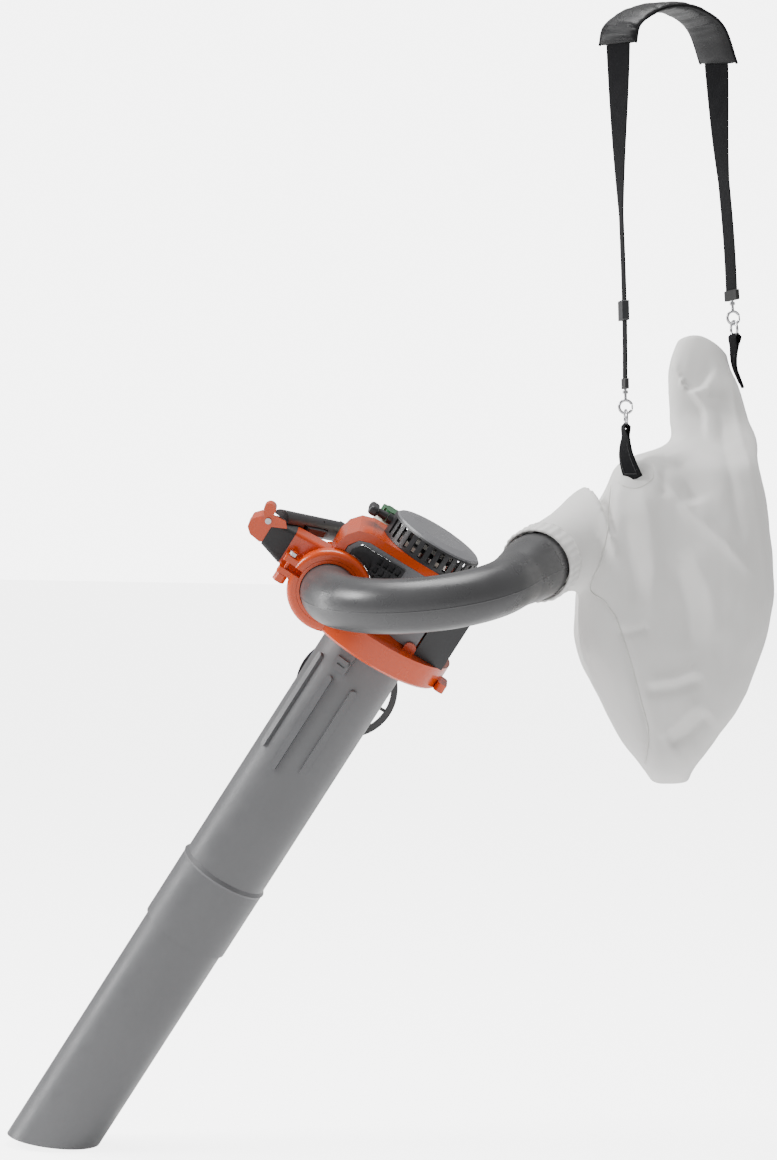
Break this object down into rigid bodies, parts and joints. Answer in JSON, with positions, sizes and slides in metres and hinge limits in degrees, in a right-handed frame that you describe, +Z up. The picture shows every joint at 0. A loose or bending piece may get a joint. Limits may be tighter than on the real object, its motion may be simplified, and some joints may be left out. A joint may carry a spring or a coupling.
{
  "type": "leaf blower vacuum",
  "caption": "Handheld petrol leaf blower in its vacuum fit, with long suction tube, elbow, collecting bag and padded shoulder strap.",
  "frame": {"origin": "centre of the suction mouth's oblique rim", "axes": "+Z up; the tube leans towards +X from the mouth, so its axis lies in the XZ plane; -Y is the side that the elbow's bend faces"},
  "size_m": [1.0297, 0.5347, 1.5442],
  "materials": {
    "tube_plastic": "satin mid-grey moulded plastic with a fine grain",
    "orange_plastic": "glossy orange moulded plastic",
    "grey_plastic": "light grey moulded plastic",
    "dark_plastic": "dark grey moulded plastic",
    "soft_rubber": "soft black grip rubber",
    "fan_plastic": "black glass-filled plastic",
    "cast_aluminium": "as cast and machined",
    "steel": "bright steel",
    "coil_black": "potted coil",
    "filter_foam": "oiled foam",
    "tank_plastic": "translucent natural tank plastic",
    "green_plastic": "green moulded plastic",
    "rope": "braided starter rope",
    "chrome_hardware": "bright nickel plate",
    "swivel_plastic": "black moulded plastic",
    "bag_cloth": "off-white woven dust-proof cloth",
    "black_webbing": "black ribbed webbing",
    "pad_cloth": "quilted black nylon with a slight shine"
  },
  "bodies": {
    "root": {"air_filter": "filter_foam", "air_filter_cover": "dark_plastic", "bag": "bag_cloth", "bag_d_rings": "chrome_hardware", "bag_tabs": "black_webbing", "carburettor": "cast_aluminium", "control_pins": "steel", "crankcase": "cast_aluminium", "cylinder_cover": "dark_plastic", "elbow_tube": "tube_plastic", "engine_cylinder": "cast_aluminium", "engine_frame": "orange_plastic", "engine_grille": "dark_plastic", "engine_shroud": "grey_plastic", "fan_housing_lower": "orange_plastic", "fan_housing_upper": "orange_plastic", "fan_side_bearing": "steel", "fasteners": "steel", "front_strap": "black_webbing", "fuel_tank": "tank_plastic", "handle_bar": "dark_plastic", "handle_cap": "orange_plastic", "handle_neck": "orange_plastic", "ignition_coil": "coil_black", "inlet_cover_pin": "steel", "lower_tube": "tube_plastic", "muffler": "steel", "outlet_collar": "orange_plastic", "rear_strap": "black_webbing", "recoil_spring": "steel", "shoulder_pad": "pad_cloth", "soft_grip": "soft_rubber", "spark_plug": "steel", "starter_housing": "grey_plastic", "starter_rope": "rope", "starter_side_bearing": "steel", "strap_swivels": "swivel_plastic", "trigger_spring": "steel", "upper_tube": "tube_plastic"},
    "rotor": {"impeller": "fan_plastic", "crankshaft": "steel", "flywheel": "cast_aluminium"},
    "piston_body": {"piston": "cast_aluminium", "gudgeon_pin": "steel"},
    "inlet_cover_body": {"inlet_cover": "dark_plastic"},
    "clamp_screw": {"clamp_knob": "orange_plastic"},
    "latch": {"tube_latch": "tube_plastic"},
    "choke": {"choke_lever": "dark_plastic"},
    "primer": {"primer_bulb": "soft_rubber"},
    "trigger": {"throttle_trigger": "dark_plastic"},
    "cruise": {"cruise_lever": "orange_plastic"},
    "stop": {"stop_switch": "dark_plastic"},
    "cap": {"fuel_cap": "green_plastic"},
    "pulley": {"recoil_pulley": "dark_plastic"},
    "pull_grip": {"starter_grip": "dark_plastic"},
    "front_hook": {"front_snap_hook": "chrome_hardware"},
    "rear_hook": {"rear_snap_hook": "chrome_hardware"},
    "front_gate": {"front_hook_gate": "chrome_hardware"},
    "rear_gate": {"rear_hook_gate": "chrome_hardware"},
    "adjuster": {"strap_adjuster": "dark_plastic"}
  },
  "joints": [
    {"name": "rotor_spin", "type": "hinge", "parent": "root", "child": "rotor", "pos_m": [0.50385, 0, 0.75778], "axis": [0.5537, 0, 0.8327], "continuous": true},
    {"name": "piston_stroke", "type": "slide", "parent": "root", "child": "piston_body", "axis": [-0.7874, -0.3256, 0.5235], "range_m": [-0.013, 0.013]},
    {"name": "inlet_cover_swing", "type": "hinge", "parent": "root", "child": "inlet_cover_body", "pos_m": [0.44157, 0.07562, 0.68631], "axis": [-0.7874, -0.3256, 0.5235], "range_deg": [-75, 0]},
    {"name": "clamp_screw_turn", "type": "hinge", "parent": "root", "child": "clamp_screw", "pos_m": [0.38269, -0.11189, 0.79631], "axis": [0.5537, 0, 0.8327], "continuous": true},
    {"name": "latch_snap", "type": "slide", "parent": "root", "child": "latch", "axis": [-0.0291, -0.9994, 0.0193], "range_m": [0, 0.003], "stiffness_N_per_m": 2000},
    {"name": "choke_turn", "type": "hinge", "parent": "root", "child": "choke", "pos_m": [0.54513, 0.06394, 0.75075], "axis": [0.5537, 0, 0.8327], "range_deg": [0, 60]},
    {"name": "primer_press", "type": "slide", "parent": "root", "child": "primer", "axis": [0.5537, 0, 0.8327], "range_m": [0, 0.004], "stiffness_N_per_m": 1500},
    {"name": "throttle_pull", "type": "hinge", "parent": "root", "child": "trigger", "pos_m": [0.38858, -0.00453, 0.83803], "axis": [-0.5537, 0, -0.8327], "range_deg": [-11, 0], "stiffness_Nm_per_rad": 0.5},
    {"name": "cruise_turn", "type": "hinge", "parent": "root", "child": "cruise", "pos_m": [0.35756, -0.11526, 0.85385], "axis": [0.2711, -0.9455, -0.1803], "range_deg": [0, 25]},
    {"name": "stop_press", "type": "slide", "parent": "root", "child": "stop", "axis": [0.2711, -0.9455, -0.1803], "range_m": [0, 0.0015], "stiffness_N_per_m": 1500},
    {"name": "fuel_cap_turn", "type": "hinge", "parent": "root", "child": "cap", "pos_m": [0.46676, 0.064, 0.8545], "axis": [0.5537, 0, 0.8327], "range_deg": [0, 120]},
    {"name": "recoil_spin", "type": "hinge", "parent": "root", "child": "pulley", "pos_m": [0.54372, 0, 0.81774], "axis": [0.5537, 0, 0.8327], "range_deg": [0, 1080], "stiffness_Nm_per_rad": 0.004},
    {"name": "starter_pull", "type": "slide", "parent": "root", "child": "pull_grip", "axis": [-0.7874, -0.3256, 0.5235], "range_m": [0, 0.61], "deforming": ["starter_rope"]},
    {"name": "front_hook_swivel", "type": "hinge", "parent": "root", "child": "front_hook", "pos_m": [0.77735, 0.10377, 1.01997], "axis": [-0.0294, 0.0137, 0.9995], "range_deg": [-30, 30]},
    {"name": "rear_hook_swivel", "type": "hinge", "parent": "root", "child": "rear_hook", "pos_m": [0.87752, 0.29134, 1.1398], "axis": [-0.0799, 0.024, 0.9965], "range_deg": [-30, 30]},
    {"name": "front_gate_open", "type": "hinge", "parent": "front_hook", "child": "front_gate", "pos_m": [0.78583, 0.10672, 1.00337], "axis": [0.3696, -0.9289, 0.0236], "range_deg": [-20, 0], "stiffness_Nm_per_rad": 0.02},
    {"name": "rear_gate_open", "type": "hinge", "parent": "rear_hook", "child": "rear_gate", "pos_m": [0.88588, 0.2959, 1.12351], "axis": [0.5729, -0.817, 0.0656], "range_deg": [-20, 0], "stiffness_Nm_per_rad": 0.02},
    {"name": "strap_adjust", "type": "slide", "parent": "root", "child": "adjuster", "axis": [-0.0294, 0.0137, 0.9995], "range_m": [-0.04, 0.06]}
  ],
  "couplings": [
    {"joint": "starter_pull", "follows": "recoil_spin", "m_per_rad": 0.032}
  ]
}
